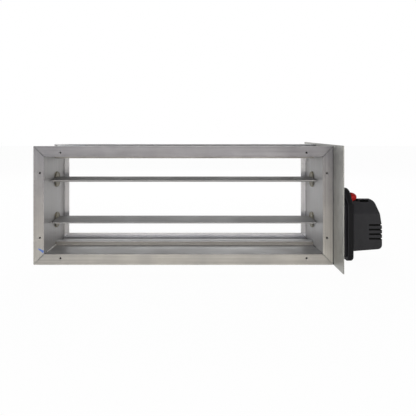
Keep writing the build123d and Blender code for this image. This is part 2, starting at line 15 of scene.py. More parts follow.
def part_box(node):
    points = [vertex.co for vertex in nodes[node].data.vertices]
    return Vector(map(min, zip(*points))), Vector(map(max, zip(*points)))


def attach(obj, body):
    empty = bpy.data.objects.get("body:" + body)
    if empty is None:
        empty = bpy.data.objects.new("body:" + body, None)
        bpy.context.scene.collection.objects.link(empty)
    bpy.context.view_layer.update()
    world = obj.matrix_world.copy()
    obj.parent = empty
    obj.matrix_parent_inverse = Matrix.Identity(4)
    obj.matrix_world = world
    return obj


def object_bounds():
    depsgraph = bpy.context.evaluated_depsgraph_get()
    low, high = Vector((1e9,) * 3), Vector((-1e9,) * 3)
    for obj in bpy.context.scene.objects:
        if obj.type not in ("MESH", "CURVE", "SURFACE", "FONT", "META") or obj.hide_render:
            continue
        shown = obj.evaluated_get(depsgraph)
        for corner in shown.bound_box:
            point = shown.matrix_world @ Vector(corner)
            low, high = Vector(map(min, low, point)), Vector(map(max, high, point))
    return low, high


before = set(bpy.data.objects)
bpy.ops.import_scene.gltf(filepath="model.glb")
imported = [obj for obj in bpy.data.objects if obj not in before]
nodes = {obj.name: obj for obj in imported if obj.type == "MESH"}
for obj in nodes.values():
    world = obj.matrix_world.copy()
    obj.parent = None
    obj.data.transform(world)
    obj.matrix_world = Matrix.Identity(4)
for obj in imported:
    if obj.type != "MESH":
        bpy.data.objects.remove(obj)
cad_low, cad_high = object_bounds()
print("loaded", len(nodes), "nodes, from", tuple(cad_low), "to", tuple(cad_high))

# %% [markdown]
# ## Reading the places we need
# Most places below are worked out from the frame itself, so that a finish stays where it belongs
# if the damper is made to another duct size. The origin is the centre of the opening in the face
# of the front flange, with X to the right, Y into the duct and Z up. Blender works in metres, so
# 0.002 is a wall of 2 mm.

# %% Places taken from the frame
WALL = 0.0020
STOP_END_GAP = 0.0005
RIM_THICKNESS = 0.013

stop_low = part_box("bottom_blade_stop")[0]
frame_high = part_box("frame_top")[1]
plate_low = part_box("drive_side_plate")[0]

DUCT_HALF_WIDTH = STOP_END_GAP - stop_low.x
DUCT_HALF_HEIGHT = -stop_low.z
FRAME_DEPTH = frame_high.y
FLANGE = frame_high.z - DUCT_HALF_HEIGHT
LIP_FACE = FRAME_DEPTH - WALL
STOP_FRONT = stop_low.y
PLATE_FACE = plate_low.x
PLATE_FRONT = plate_low.y
BUSH_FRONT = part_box("far_side_bushes")[0].y
RIM_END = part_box("actuator_base")[1].x + RIM_THICKNESS
COVER_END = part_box("actuator_cover")[1].x
CLEAT_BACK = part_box("front_corner_cleats")[1].y
CLEAT_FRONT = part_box("back_corner_cleats")[0].y
FLOOR_LEVEL = cad_low.z
print("duct", round(2 * DUCT_HALF_WIDTH, 4), "by", round(2 * DUCT_HALF_HEIGHT, 4),
      "with a flange of", round(FLANGE, 4))

# %% [markdown]
# ## Helpers for nodes
# A material is a little network of nodes. These helpers keep a network readable: one fills in the
# inputs of a node, one adds a node and fills it in, one starts a material, and each of the rest
# gives one thing that many materials need. Any input may be a plain value or another node's output.
#
# All patterns read Object coordinates. Because each part's place is in its mesh, those are metres
# in the damper's own frame, so a noise of scale 100 repeats about every centimetre.

# %% Helpers that add nodes
def set_inputs(tree, node, inputs):
    """Fills in the node's inputs, by name or number: joins an output, or writes a plain value."""
    for key, value in inputs.items():
        socket = node.inputs[key]
        if isinstance(value, bpy.types.NodeSocket):
            tree.links.new(value, socket)
        elif socket.type == "RGBA":
            socket.default_value = (*value, 1)
        else:
            socket.default_value = value


def add_node(tree, kind, inputs, **settings):
    """A new node. Its settings are the choices in its panel, such as the operation."""
    node = tree.nodes.new(kind)
    for key, value in settings.items():
        setattr(node, key, value)
    set_inputs(tree, node, inputs)
    return node


def start_material(name):
    material = bpy.data.materials.new(name)
    material.use_nodes = True
    tree = material.node_tree
    return material, tree, tree.nodes["Principled BSDF"]


def object_coordinates(tree, scale=(1, 1, 1), turn=(0, 0, 0)):
    """Object coordinates, stretched so that a pattern runs long in one direction."""
    place = add_node(tree, "ShaderNodeTexCoord", {}).outputs["Object"]
    inputs = {"Vector": place, "Scale": scale, "Rotation": turn}
    return add_node(tree, "ShaderNodeMapping", inputs).outputs["Vector"]


def coordinate(tree, axis):
    """One of the three Object coordinates, in metres."""
    return add_node(tree, "ShaderNodeSeparateXYZ", {0: object_coordinates(tree)}).outputs[axis]


def noise(tree, vector, scale, detail, roughness=0.5):
    inputs = {"Vector": vector, "Scale": scale, "Detail": detail, "Roughness": roughness}
    return add_node(tree, "ShaderNodeTexNoise", inputs).outputs["Fac"]


def bump(tree, height, strength, depth):
    inputs = {"Height": height, "Strength": strength, "Distance": depth}
    return add_node(tree, "ShaderNodeBump", inputs).outputs["Normal"]


print("node helpers ready")

# %% [markdown]
# ## Helpers for colours and masks
# A mask is a number from 0 to 1 that says how much of a paint shows at a point. Most masks here
# ask one of two questions: is this point near a certain place, or is it on a certain flat face?

# %% Helpers for colours and masks
def grey(level):
    return (level, level, level)


def scaled(colour, factor):
    return tuple(channel * factor for channel in colour)


def ramp(tree, factor, stops):
    """A colour ramp with its own stops, each a position and a colour."""
    node = add_node(tree, "ShaderNodeValToRGB", {"Fac": factor})
    elements = node.color_ramp.elements
    while len(elements) < len(stops):
        elements.new(0.5)
    for element, (position, colour) in zip(elements, stops):
        element.position = position
        element.color = (*colour, 1)
    return node.outputs["Color"]


def mix_colour(tree, factor, first, second, blend="MIX"):
    inputs = {0: factor, 6: first, 7: second}
    node = add_node(tree, "ShaderNodeMix", inputs, data_type="RGBA", blend_type=blend)
    return node.outputs[2]


def shade(tree, factor, colour, tone):
    """Multiplies the colour by the tone, as far as the factor says."""
    return mix_colour(tree, factor, colour, tone, "MULTIPLY")


def map_range(tree, value, low, high, from_low=0.0, from_high=1.0):
    """Turns from_low into low and from_high into high, evenly between, and clamps beyond."""
    inputs = {
        "Value": value, "From Min": from_low, "From Max": from_high, "To Min": low, "To Max": high,
    }
    return add_node(tree, "ShaderNodeMapRange", inputs).outputs["Result"]


def maths(tree, operation, first, second=0.0):
    return add_node(tree, "ShaderNodeMath", {0: first, 1: second}, operation=operation).outputs[0]


def times(tree, value, *factors):
    for factor in factors:
        value = maths(tree, "MULTIPLY", value, factor)
    return value


def distance(tree, value, centre=0.0):
    """How far the value lies from the centre, to either side."""
    return maths(tree, "ABSOLUTE", maths(tree, "SUBTRACT", value, centre))


def smooth_below(tree, value, limit, soft):
    """1 where the value is under the limit, falling to 0 over the soft width."""
    return map_range(tree, value, 1.0, 0.0, limit, limit + soft)


def up_to(tree, axis, place, edge):
    """1 as far along the axis as this place. The edge is a margin beyond it and a soft width."""
    margin, soft = edge
    return smooth_below(tree, coordinate(tree, axis), place + margin, soft)


def on_face(tree, axis, place, edge):
    """1 on the flat face that lies at this place along the axis, with an edge to either side."""
    margin, soft = edge
    return smooth_below(tree, distance(tree, coordinate(tree, axis), place), margin, soft)


def painted(tree, colour, paints):
    """The colour with every paint laid over it in turn."""
    for paint in paints:
        colour = paint(tree, colour)
    return colour


def dress(names, material):
    """Gives every named part this material in place of its plain one."""
    for name in names:
        mesh = nodes[name].data
        mesh.materials.clear()
        mesh.materials.append(material)
    print(material.name, "on", len(names), "parts")


print("colour and mask helpers ready")

# %% [markdown]
# ## Mill-finish aluminium
# The frame and the blades are extrusions. An extrusion leaves the press with faint lines along its
# length, from the die, and with a cloudy grey skin. The lines are a noise stretched a hundred
# times along the bar, the skin a soft noise of hand size, and a few rubbed marks are a third,
# sharper noise. A bar that runs along X and one that runs along Z need the stretch in different
# directions, so the helper takes the direction as its argument.

# %% Extruded aluminium
ALUMINIUM = (0.44, 0.435, 0.435)
ACROSS_LINES = 300.0
ALONG_LINES = 3.0
CLOUD_TONES = ((0.30, (0.88, 0.88, 0.89)), (0.72, (1.0, 0.99, 0.98)))
RUB_TONES = ((0.60, grey(1.0)), (0.76, (0.80, 0.80, 0.81)))
RUB_SCALE = (40.0, 90.0, 60.0)
RUB_TURN = (0.4, 0.2, 0.6)


def extruded_aluminium(name, along, tone=1.0, roughness=0.44, metal=0.40, shine=0.5, paints=()):
    material, tree, shader = start_material(name)
    stretch = [ALONG_LINES if axis == along else ACROSS_LINES for axis in "XYZ"]
    lines = noise(tree, object_coordinates(tree, stretch), 1.0, 5.0, 0.65)
    clouds = noise(tree, object_coordinates(tree), 14.0, 4.0, 0.6)
    rubs = noise(tree, object_coordinates(tree, RUB_SCALE, RUB_TURN), 1.0, 6.0, 0.7)
    skin = scaled(ALUMINIUM, tone)
    colour = ramp(tree, lines, [(0.30, scaled(skin, 0.80)), (0.70, scaled(skin, 1.12))])
    colour = shade(tree, 1.0, colour, ramp(tree, clouds, CLOUD_TONES))
    colour = shade(tree, 0.7, colour, ramp(tree, rubs, RUB_TONES))
    set_inputs(tree, shader, {
        "Base Color": painted(tree, colour, paints),
        "Metallic": metal,
        "Specular IOR Level": shine,
        "Roughness": map_range(tree, clouds, roughness - 0.07, roughness + 0.10, 0.3, 0.7),
        "Normal": bump(tree, lines, 0.10, 0.0002),
    })
    return material


print("aluminium ready")

# %% [markdown]
# ## Paints that follow a bar's faces
# One bar carries painted light and shade on some of its faces. The front of the flanges is painted
# darker, the lip round the back is painted lighter, and the floor of the duct carries both.
# Each paint below is a mask for a face and a tone for it. A tone above 1 makes the metal lighter.
# The edge of a mask is a pair, in metres: a margin round the face, then a width to fade over.

# %% Painted light and shade on the flanges, the lip, the floor and the stops
FRONT_EDGE = (0.0003, 0.0004)
LIP_EDGE = (0.0003, 0.0003)
FLOOR_EDGE = (0.0002, 0.0002)
BEFORE_STOP_EDGE = (0.0, 0.001)
# Painted light on the flange front: darker overall, lightest and warmest low down.
FLANGE_LIGHT_TONES = (
    (0.0, (0.72, 0.70, 0.65)), (0.35, (0.49, 0.47, 0.45)), (1.0, (0.31, 0.305, 0.325)),
)
SMEAR_TONES = ((0.35, (0.88, 0.88, 0.89)), (0.65, (1.08, 1.08, 1.07)))
# Painted light on the lip round the back, strongest at its foot.
LIP_LIGHT_TONES = (
    (0.0, (2.3, 2.3, 2.4)), (0.35, (2.3, 2.3, 2.4)), (0.52, (1.85, 1.85, 1.93)),
    (0.74, (1.1, 1.1, 1.14)), (1.0, (1.30, 1.31, 1.35)),
)
LIP_FOOT = 0.015
# Painted light and shade along the floor of the duct.
DUCT_FLOOR_LIGHT_TONES = (
    (0.15, grey(1.0)), (0.5, grey(0.82)), (0.75, grey(0.90)), (0.88, grey(1.25)),
    (0.98, grey(1.7)),
)
# Painted shade on the front face of the blade stops.
STOP_SHADE_TONE = (0.38, 0.37, 0.345)


def height_above_floor(tree, height):
    """0 at the floor of the duct and 1 at this height above it."""
    floor = -DUCT_HALF_HEIGHT
    return map_range(tree, coordinate(tree, "Z"), 0.0, 1.0, floor, floor + height)


def flange_painted_light(tree, colour):
    """Painted light on the front face of the flanges: darker than the inside, warmer and lighter
    low down, greyer at the top.
    """
    tone = ramp(tree, height_above_floor(tree, 2 * DUCT_HALF_HEIGHT), FLANGE_LIGHT_TONES)
    smears = noise(tree, object_coordinates(tree), 16.0, 3.0)
    tone = shade(tree, 1.0, tone, ramp(tree, smears, SMEAR_TONES))
    return shade(tree, up_to(tree, "Y", 0.0, FRONT_EDGE), colour, tone)


def lip_painted_light(tree, colour):
    """Painted light on the inside of the lip round the back, brightest at its foot in the bottom
    bar.
    """
    tone = ramp(tree, height_above_floor(tree, LIP_FOOT), LIP_LIGHT_TONES)
    return shade(tree, on_face(tree, "Y", LIP_FACE, LIP_EDGE), colour, tone)


def duct_floor_painted_light(tree, colour):
    """Painted light and shade on the floor in front of the blade stop, brightest at the foot of the
    stop.
    """
    on_floor = on_face(tree, "Z", -DUCT_HALF_HEIGHT, FLOOR_EDGE)
    before_stop = up_to(tree, "Y", STOP_FRONT, BEFORE_STOP_EDGE)
    along = map_range(tree, coordinate(tree, "Y"), 0.0, 1.0, 0.0, STOP_FRONT)
    return shade(tree, times(tree, on_floor, before_stop), colour, ramp(tree, along, DUCT_FLOOR_LIGHT_TONES))


def stop_front_painted_shade(tree, colour):
    """Painted shade on the front face of a blade stop."""
    return shade(tree, up_to(tree, "Y", STOP_FRONT, FRONT_EDGE), colour, STOP_SHADE_TONE)


print("face paints ready")

# %% [markdown]
# ## Grime, painted shade and a pen stroke
# The four bars meet in mitres, and the saw cut fills with grime, so each corner shows a dark line
# at 45 degrees, darkest at the opening. The line is where |X| - |Z| is the same as at the duct's
# corner, so a few Math nodes draw it on any size of frame. Painted shade darkens the inner corner
# in front of the back lip and the flange edge beside the side plate. A stroke of blue marking pen
# near the lower left corner is one more small pattern: one coordinate runs along the stroke and one
# across it.

# %% Grime, painted shade and a pen stroke
# Near-black for the grime in the mitres and for painted shade in corners.
GRIME_AND_SHADE = (0.030, 0.030, 0.032)
MITRE_LINE = (0.0005, 0.0016)
MITRE_FADE_START = 0.004
MITRE_PATCHES = (0.55, 1.0)
# Painted shade in front of the back lip: where it lies and how dark it is.
SEAM_REACH = 0.0018
SEAM_EDGE = (SEAM_REACH - 0.0006, 0.0004)
CORNER_SHADE_STRENGTH = 0.55
# Painted shade on the flange edge beside the side plate.
PLATE_SHADE_EDGE = (0.0012, 0.0008)
PEN_BLUE = (0.03, 0.10, 0.36)
PEN_PLACE = (-DUCT_HALF_WIDTH - 0.0062, -DUCT_HALF_HEIGHT + 0.0086)
PEN_SLOPE = math.radians(-31)
PEN_LENGTH_EDGE = (0.0058, 0.0020)
PEN_HALF_WIDTHS = (0.0008, 0.0027)
PEN_TAPER_HALF_LENGTH = 0.006
PEN_WIDTH_EDGE = (-0.0002, 0.0007)
PEN_DEPTH_EDGE = (0.0005, 0.0002)
PEN_STRENGTH = 0.85


def mitre_grime(tree, colour):
    """A dark line in each mitre, patchy, and fading away from the opening."""
    x, z = distance(tree, coordinate(tree, "X")), distance(tree, coordinate(tree, "Z"))
    off_line = distance(tree, maths(tree, "SUBTRACT", x, z), DUCT_HALF_WIDTH - DUCT_HALF_HEIGHT)
    line = smooth_below(tree, off_line, *MITRE_LINE)
    fade = smooth_below(tree, distance(tree, z, DUCT_HALF_HEIGHT), MITRE_FADE_START, FLANGE)
    patches = noise(tree, object_coordinates(tree), 130.0, 3.0)
    patchy = map_range(tree, patches, *MITRE_PATCHES, 0.35, 0.55)
    return mix_colour(tree, times(tree, line, fade, patchy), colour, GRIME_AND_SHADE)


def lip_corner_shade(tree, colour):
    """Painted shade in the corner where the inside of a bar meets the lip at its back."""
    off_seam = distance(tree, coordinate(tree, "Y"), LIP_FACE - SEAM_REACH)
    seam = smooth_below(tree, off_seam, *SEAM_EDGE)
    return mix_colour(tree, times(tree, seam, CORNER_SHADE_STRENGTH), colour, GRIME_AND_SHADE)


def plate_contact_shade(tree, colour):
    """Painted shade along the line where the side plate is screwed to the flange."""
    short_of_plate = maths(tree, "SUBTRACT", PLATE_FACE, coordinate(tree, "X"))
    return mix_colour(tree, smooth_below(tree, short_of_plate, *PLATE_SHADE_EDGE), colour, GRIME_AND_SHADE)


def pen_stroke(tree, colour):
    """A short slanting stroke on the front face, wider at its right end."""
    x, z = PEN_PLACE
    moved = {"Vector": object_coordinates(tree), "Location": (-x, 0, -z)}
    centred = add_node(tree, "ShaderNodeMapping", moved).outputs["Vector"]
    turned = {"Vector": centred, "Rotation": (0, PEN_SLOPE, 0)}
    laid = add_node(tree, "ShaderNodeMapping", turned).outputs["Vector"]
    split = add_node(tree, "ShaderNodeSeparateXYZ", {0: laid})
    along, depth, across = split.outputs["X"], split.outputs["Y"], split.outputs["Z"]
    length = smooth_below(tree, distance(tree, along), *PEN_LENGTH_EDGE)
    taper = (-PEN_TAPER_HALF_LENGTH, PEN_TAPER_HALF_LENGTH)
    half_width = map_range(tree, along, *PEN_HALF_WIDTHS, *taper)
    outside = maths(tree, "SUBTRACT", distance(tree, across), half_width)
    width = smooth_below(tree, outside, *PEN_WIDTH_EDGE)
    front = smooth_below(tree, depth, *PEN_DEPTH_EDGE)
    return mix_colour(tree, times(tree, length, width, front, PEN_STRENGTH), colour, PEN_BLUE)


print("grime and pen ready")

# %% [markdown]
# ## Dressing the frame and the blades
# Each bar takes the paints that its faces need. The blades are less metallic and less shiny than
# the frame, because they are seen nearly edge-on, where a shiny skin would turn white.

# %% Dress everything that is aluminium
dress(["frame_top"],
      extruded_aluminium("frame_extrusion_top", "X", paints=[flange_painted_light, mitre_grime]))
dress(["frame_bottom"], extruded_aluminium(
    "frame_extrusion_bottom", "X", tone=0.88,
    paints=[flange_painted_light, lip_painted_light, lip_corner_shade, duct_floor_painted_light, mitre_grime],
))
dress(["frame_left", "frame_right"], extruded_aluminium(
    "frame_extrusion_upright", "Z",
    paints=[flange_painted_light, lip_painted_light, lip_corner_shade, mitre_grime, pen_stroke, plate_contact_shade],
))
dress(["upper_blade", "lower_blade"], extruded_aluminium(
    "blade_extrusion", "X", tone=0.72, roughness=0.58, metal=0.05, shine=0.12,
))
dress(["top_blade_stop", "bottom_blade_stop"],
      extruded_aluminium("stop_sheet", "X", roughness=0.45, paints=[stop_front_painted_shade]))
dress(["top_stop_rivets", "bottom_stop_rivets"],
      extruded_aluminium("rivet_aluminium", "Z", tone=1.15, roughness=0.35))

# %% [markdown]
# ## Galvanised sheet
# The side plate and the corner cleats are zinc-coated steel. Zinc freezes in flat crystals, the
# spangle, which show as cells about a centimetre wide, each a slightly different grey. Voronoi
# cells give the crystals, their random colour the grey of each, and a soft noise the cloudiness.

# %% Galvanised sheet
ZINC_ROUGHNESS = 0.48
ZINC_CLOUD_TONES = ((0.3, (0.88, 0.88, 0.87)), (0.7, grey(1.0)))
SHEARED_TONE = grey(0.42)
SHEARED_EDGE = (0.0002, 0.0003)


def galvanised(name, colour, cells_per_metre, paints=()):
    material, tree, shader = start_material(name)
    place = object_coordinates(tree)
    cells = add_node(tree, "ShaderNodeTexVoronoi", {"Scale": cells_per_metre, "Vector": place})
    split = add_node(tree, "ShaderNodeSeparateColor", {"Color": cells.outputs["Color"]})
    spangle = split.outputs["Red"]
    clouds = noise(tree, place, 9.0, 4.0)
    zinc = ramp(tree, spangle, [(0.0, scaled(colour, 0.88)), (1.0, scaled(colour, 1.08))])
    zinc = shade(tree, 1.0, zinc, ramp(tree, clouds, ZINC_CLOUD_TONES))
    set_inputs(tree, shader, {
        "Base Color": painted(tree, zinc, paints),
        "Metallic": 0.8,
        "Roughness": map_range(tree, spangle, ZINC_ROUGHNESS - 0.06, ZINC_ROUGHNESS + 0.08),
        "Normal": bump(tree, clouds, 0.08, 0.0004),
    })
    return material


def sheared_edge(tree, colour):
    """The plate's front edge shows bare steel, darker than the zinc, where the shears cut it."""
    return shade(tree, up_to(tree, "Y", PLATE_FRONT, SHEARED_EDGE), colour, SHEARED_TONE)


dress(["drive_side_plate"],
      galvanised("side_plate_zinc", (0.45, 0.45, 0.43), 90.0, [sheared_edge]))
dress(["front_corner_cleats", "back_corner_cleats"],
      galvanised("cleat_zinc", (0.40, 0.41, 0.42), 140.0))

# %% [markdown]
# ## Turned and plated steel
# Pins, the shaft and the screws are bright steel. Turning leaves fine rings round the part, which
# a noise stretched round X gives well enough at this size: it runs long across and short along.

# %% Bright steel
STAIN_TONES = ((0.45, grey(1.0)), (0.75, (0.80, 0.79, 0.77)))


def bright_steel(name, colour, roughness=0.3, rings=900.0):
    material, tree, shader = start_material(name)
    marks = noise(tree, object_coordinates(tree, (rings, 30.0, 30.0)), 1.0, 3.0)
    stains = noise(tree, object_coordinates(tree), 60.0, 4.0)
    steel = ramp(tree, marks, [(0.3, scaled(colour, 0.82)), (0.7, colour)])
    set_inputs(tree, shader, {
        "Base Color": shade(tree, 0.8, steel, ramp(tree, stains, STAIN_TONES)),
        "Metallic": 1.0,
        "Roughness": map_range(tree, stains, roughness - 0.05, roughness + 0.12, 0.3, 0.7),
        "Normal": bump(tree, marks, 0.06, 0.0001),
    })
    return material


dress(["upper_drive_pin", "upper_idle_pin", "lower_drive_pin", "lower_idle_pin", "drive_shaft"],
      bright_steel("pin_steel", (0.50, 0.50, 0.50)))
dress(["upper_pin_clips", "lower_pin_clips"],
      bright_steel("spring_steel_clips", (0.34, 0.34, 0.35), 0.35))
dress(["plate_screws", "bracket_screws", "housing_screws", "gear_set_screw", "clamp_bolt",
       "clamp_nuts"],
      bright_steel("zinc_plated_screws", (0.52, 0.53, 0.55), 0.28))
dress(["output_hub"], bright_steel("hub_steel", (0.40, 0.40, 0.41), 0.36))
dress(["shaft_bearing"], bright_steel("sintered_bronze", (0.42, 0.27, 0.13), 0.45, rings=400.0))
dress(["drive_motor"], bright_steel("motor_can", (0.42, 0.43, 0.45), 0.33))

# %% [markdown]
# ## Natural nylon
# Bushes and gears are moulded in unfilled nylon, an ivory plastic that lets a little light in and
# yellows unevenly. A little subsurface scattering softens it, and a faint noise mottles its
# colour. The bushes' nylon is painted in shade, a darker copy of the gears' nylon, and painted
# shadow darkens their front side.

# %% Nylon
YELLOWED = (0.88, 0.86, 0.78)
# Painted shadow on the front of the bushes.
BUSH_SHADOW = grey(0.045)
BUSH_SHADOW_REACH = 0.0035
BUSH_SHADOW_SOFT = 0.0040
BUSH_SHADOW_STRENGTH = 0.8


def nylon(name, colour, paints=()):
    material, tree, shader = start_material(name)
    mottling = noise(tree, object_coordinates(tree), 120.0, 4.0)
    grain = noise(tree, object_coordinates(tree), 1500.0, 2.0)
    dark = tuple(channel * factor for channel, factor in zip(colour, YELLOWED))
    set_inputs(tree, shader, {
        "Base Color": painted(tree, ramp(tree, mottling, [(0.3, dark), (0.7, colour)]), paints),
        "Roughness": map_range(tree, mottling, 0.36, 0.50, 0.3, 0.7),
        "Subsurface Weight": 0.15,
        "Subsurface Radius": (1.0, 0.7, 0.4),
        "Subsurface Scale": 0.002,
        "Normal": bump(tree, grain, 0.05, 0.0001),
    })
    return material


def bush_front_shadow(tree, colour):
    """Painted shadow on the front side of each bush, thinning out towards the back."""
    front_shadow = smooth_below(tree, coordinate(tree, "Y"), BUSH_FRONT + BUSH_SHADOW_REACH, BUSH_SHADOW_SOFT)
    return mix_colour(tree, times(tree, front_shadow, BUSH_SHADOW_STRENGTH), colour, BUSH_SHADOW)


# The bushes' nylon is a darker copy of the gears' nylon: painted shade.
dress(["drive_side_bushes", "far_side_bushes"],
      nylon("bush_nylon", (0.245, 0.225, 0.170), [bush_front_shadow]))
dress(["upper_gear", "lower_gear", "drive_gear"], nylon("gear_nylon", (0.58, 0.55, 0.44)))

# %% [markdown]
# ## Dark moulded plastic
# The actuator's housing is moulded with a fine spark-eroded texture, which keeps finger marks from
# showing and makes the sheen soft. The texture is a very fine noise used as bump, and the black is
# lifted a little where the surface is rubbed. The cover takes two paints of painted shade: its rim
# is painted darker than its hump, and the floors of its slots are painted black, as if they were
# open.

# %% Housing plastic
# Painted shade on the cover's rim.
RIM_SHADE = (0.009, 0.009, 0.010)
RIM_SOFT = 0.0005
# Painted shade on the floors of the cover's slots.
SLOT_SHADE = grey(0.0005)
SLOT_FIRST = -0.0530
SLOT_PITCH = 0.0104
SLOT_COUNT = 4
SLOT_HALF = 0.0019
SLOT_SOFT = 0.0003
SLOT_START = COVER_END - 0.0305
SLOT_START_SOFT = 0.0002
TOP_SLOT = -0.0022
TOP_SLOT_MIDDLE = COVER_END - 0.0330
TOP_SLOT_REACH = 0.0100


def moulded_plastic(name, colour, roughness, grain_scale=2600.0, grain_depth=0.18, shine=0.5,
                    paints=()):
    material, tree, shader = start_material(name)
    grain = noise(tree, object_coordinates(tree), grain_scale, 2.0)
    sheen = noise(tree, object_coordinates(tree), 25.0, 3.0)
    tone = ramp(tree, sheen, [(0.3, colour), (0.75, scaled(colour, 1.25))])
    set_inputs(tree, shader, {
        "Base Color": painted(tree, tone, paints),
        "Specular IOR Level": shine,
        "Roughness": map_range(tree, sheen, roughness - 0.05, roughness + 0.07, 0.3, 0.7),
        "Normal": bump(tree, grain, grain_depth, 0.00015),
    })
    return material


def rim_painted_shade(tree, colour):
    """Painted shade on the cover's rim, next to the base, which looks darker than the hump."""
    rim = smooth_below(tree, coordinate(tree, "X"), RIM_END, RIM_SOFT)
    return mix_colour(tree, rim, colour, RIM_SHADE)


def slot_row(tree):
    """1 in the row of slots: in whichever slot's own strip of height, and far enough out."""
    z = coordinate(tree, "Z")
    number = maths(tree, "DIVIDE", maths(tree, "SUBTRACT", SLOT_FIRST, z), SLOT_PITCH)
    nearest = maths(tree, "MAXIMUM", maths(tree, "ROUND", number), 0.0)
    nearest = maths(tree, "MINIMUM", nearest, SLOT_COUNT - 1.0)
    off_slot = times(tree, distance(tree, number, nearest), SLOT_PITCH)
    start = (SLOT_START - SLOT_START_SOFT, SLOT_START + SLOT_START_SOFT)
    far_out = map_range(tree, coordinate(tree, "X"), 0.0, 1.0, *start)
    return times(tree, smooth_below(tree, off_slot, SLOT_HALF, SLOT_SOFT), far_out)


def top_slot(tree):
    """1 in the single slot on the ridge of the hump."""
    off_slot = distance(tree, coordinate(tree, "Z"), TOP_SLOT)
    off_middle = distance(tree, coordinate(tree, "X"), TOP_SLOT_MIDDLE)
    return times(tree, smooth_below(tree, off_slot, SLOT_HALF, SLOT_SOFT),
                 smooth_below(tree, off_middle, TOP_SLOT_REACH, SLOT_SOFT))


def slots_painted_shade(tree, colour):
    """Painted shade on the floors of the slots: the row of four and the one on the ridge."""
    slots = maths(tree, "MAXIMUM", slot_row(tree), top_slot(tree))
    return mix_colour(tree, slots, colour, SLOT_SHADE)


dress(["actuator_cover"], moulded_plastic(
    "housing_plastic", (0.028, 0.028, 0.031), 0.55, shine=0.06, paints=[rim_painted_shade, slots_painted_shade],
))
dress(["actuator_base"],
      moulded_plastic("housing_base_plastic", (0.020, 0.020, 0.024), 0.55, shine=0.06))

# %% [markdown]
# ## The other plastics, a paint and rubber
# The same helper makes everything else that is moulded or coated. Only the colour, the roughness
# and the size and depth of the grain change.

# %% Gland, bracket, button, board, terminals and seals
dress(["cable_gland"], moulded_plastic("gland_plastic", (0.018, 0.018, 0.018), 0.45, 900.0))
dress(["actuator_bracket"],
      moulded_plastic("bracket_powder_coat", (0.020, 0.020, 0.021), 0.42, 700.0, 0.35))
dress(["release_button"],
      moulded_plastic("button_red", (0.30, 0.007, 0.006), 0.35, 800.0, 0.04, shine=0.12))
dress(["circuit_board"], moulded_plastic("board_green", (0.02, 0.13, 0.05), 0.35, 500.0, 0.10))
dress(["terminal_block"], moulded_plastic("terminal_grey", (0.24, 0.25, 0.26), 0.50, 900.0, 0.08))
dress(["top_stop_seal", "bottom_stop_seal"],
      moulded_plastic("seal_rubber", (0.36, 0.36, 0.37), 0.65, 1200.0, 0.2))

# %% [markdown]
# ## Clinch nuts behind the flange holes
# Every flange hole has a small blind nut pressed in behind the corner cleat, which is why the
# holes look dark from outside. The nut is turned from a cylinder: its front face is inset to the
# bore, that disc is pushed inwards, and the rim at the back is bevelled.

# %% One clinch nut
NUT_RADIUS = 0.0038
NUT_BORE = 0.0025
NUT_LENGTH = 0.0075
NUT_DEPTH = 0.0062
NUT_BEVEL = 0.0006
NUT_SIDES = 28
LYING_ALONG_Y = (math.pi / 2, 0, 0)


def select_faces(piece, test):
    """Selects the faces that pass the test, by their centre and normal, and goes into edit mode."""
    bpy.ops.object.mode_set(mode="EDIT")
    bpy.ops.mesh.select_mode(type="FACE")
    bpy.ops.mesh.select_all(action="DESELECT")
    bpy.ops.object.mode_set(mode="OBJECT")
    for face in piece.data.polygons:
        face.select = test(face.center, face.normal)
    bpy.ops.object.mode_set(mode="EDIT")


def first_clinch_nut():
    bpy.ops.object.select_all(action="DESELECT")
    bpy.ops.mesh.primitive_cylinder_add(
        vertices=NUT_SIDES, radius=NUT_RADIUS, depth=NUT_LENGTH,
        location=(0, NUT_LENGTH / 2, 0), rotation=LYING_ALONG_Y,
    )
    nut = bpy.context.object
    bpy.ops.object.transform_apply(location=True, rotation=True, scale=True)
    select_faces(nut, lambda centre, normal: normal.y < -0.9)
    bpy.ops.mesh.inset(thickness=NUT_RADIUS - NUT_BORE)
    bpy.ops.mesh.extrude_region_move(TRANSFORM_OT_translate={"value": (0, NUT_DEPTH, 0)})
    bpy.ops.object.mode_set(mode="OBJECT")
    select_faces(nut, lambda centre, normal: normal.y > 0.9 and centre.y > NUT_LENGTH * 0.98)
    bpy.ops.mesh.bevel(offset=NUT_BEVEL, segments=2)
    bpy.ops.object.mode_set(mode="OBJECT")
    bpy.ops.object.shade_smooth_by_angle(angle=math.radians(35))
    return nut


first_nut = first_clinch_nut()
blackened = bright_steel("blackened_nut_steel", (0.012, 0.012, 0.013), 0.60, rings=300.0)
first_nut.data.materials.append(blackened)
print("one clinch nut,", len(first_nut.data.polygons), "faces")

# %% [markdown]
# ## A nut for every hole
# The nut is modelled once and copied to every hole, and the copies at the back are turned to face
# the other way. Each copy has its own mesh, with its place in that mesh, and rides on the frame.

# %% Copies of the nut
HOLE_FROM_EDGE = 0.014
HOLE_FROM_CORNER = 0.058


def flange_hole_places():
    """Hole centres seen from the front: one on each bar near every corner."""
    outer_x, outer_z = DUCT_HALF_WIDTH + FLANGE, DUCT_HALF_HEIGHT + FLANGE
    pairs = (
        (outer_x - HOLE_FROM_EDGE, outer_z - HOLE_FROM_CORNER),
        (outer_x - HOLE_FROM_CORNER, outer_z - HOLE_FROM_EDGE),
    )
    return [(side * x, level * z) for x, z in pairs for side in (-1, 1) for level in (-1, 1)]


def place_copy(piece, name, move):
    """A copy with its own mesh, moved within that mesh, riding on the frame."""
    copy = bpy.data.objects.new(name, piece.data.copy())
    copy.data.transform(move)
    bpy.context.scene.collection.objects.link(copy)
    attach(copy, "frame")


